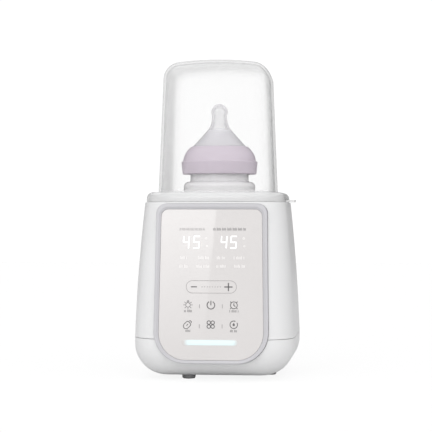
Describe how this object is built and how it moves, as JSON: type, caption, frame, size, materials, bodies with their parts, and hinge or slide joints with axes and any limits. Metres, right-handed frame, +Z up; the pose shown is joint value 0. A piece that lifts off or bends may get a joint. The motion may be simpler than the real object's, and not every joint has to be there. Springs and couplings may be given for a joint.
{
  "type": "bottle warmer",
  "caption": "Upright bottle warmer with a round-cornered body, touch panel, heated water well, lifting basket, feeding bottle and a tall clear lid.",
  "frame": {"origin": "on the axis of the heating pot, at the floor the feet stand on", "axes": "+Z up, the touch panel faces -Y, +X is the user's right and the side of the lid's finger tab"},
  "size_m": [0.132, 0.1376, 0.2652],
  "materials": {
    "housing_white": "glossy",
    "foot_rubber": "matt",
    "screw_steel": "zinc plated",
    "bezel_lilac_grey": "satin",
    "panel_glass": "back-printed glass",
    "board_green": "satin",
    "display_grey": "satin",
    "spring_steel": "bright",
    "guide_clear": "frosted",
    "lamp_white": "glossy",
    "pot_aluminium": "non-stick silver",
    "seal_silicone": "matt",
    "insulation_felt": "fibrous",
    "heater_aluminium": "cast",
    "clamp_steel": "pressed",
    "sensor_black": "satin",
    "fuse_body": "satin",
    "component_dark": "satin",
    "inlet_black": "matt",
    "pin_brass": "plated",
    "lead_sheath": "matt",
    "ribbon_grey": "satin",
    "basket_white": "satin",
    "bottle_clear": "clear",
    "collar_lilac": "satin",
    "teat_silicone": "clear silicone",
    "lid_clear": "frosted clear"
  },
  "bodies": {
    "warmer": {"upper_housing": "housing_white", "lower_housing": "housing_white", "rubber_feet": "foot_rubber", "housing_screws": "screw_steel", "panel_bezel": "bezel_lilac_grey", "touch_glass": "panel_glass", "control_board": "board_green", "board_screws": "screw_steel", "digit_modules": "display_grey", "touch_springs": "spring_steel", "light_guide": "guide_clear", "board_lamps": "lamp_white", "heating_pot": "pot_aluminium", "pot_seal": "seal_silicone", "insulation_sleeve": "insulation_felt", "heater_block": "heater_aluminium", "heater_clamp": "clamp_steel", "clamp_screws": "screw_steel", "temperature_sensor": "sensor_black", "thermal_fuse": "fuse_body", "power_board": "board_green", "power_board_screws": "screw_steel", "board_components": "component_dark", "power_inlet": "inlet_black", "inlet_pins": "pin_brass", "supply_leads": "lead_sheath", "heater_leads": "lead_sheath", "panel_ribbon": "ribbon_grey"},
    "basket": {"lifting_basket": "basket_white"},
    "feeding_bottle": {"bottle": "bottle_clear", "bottle_collar": "collar_lilac", "bottle_teat": "teat_silicone"},
    "dust_lid": {"lid": "lid_clear"}
  },
  "joints": [
    {"name": "basket_lift", "type": "slide", "parent": "warmer", "child": "basket", "axis": [0, 0, 1], "range_m": [0, 0.1]},
    {"name": "bottle_lift", "type": "slide", "parent": "basket", "child": "feeding_bottle", "axis": [0, 0, 1], "range_m": [0, 0.1]},
    {"name": "lid_lift", "type": "slide", "parent": "feeding_bottle", "child": "dust_lid", "axis": [0, 0, 1], "range_m": [0, 0.09]}
  ]
}
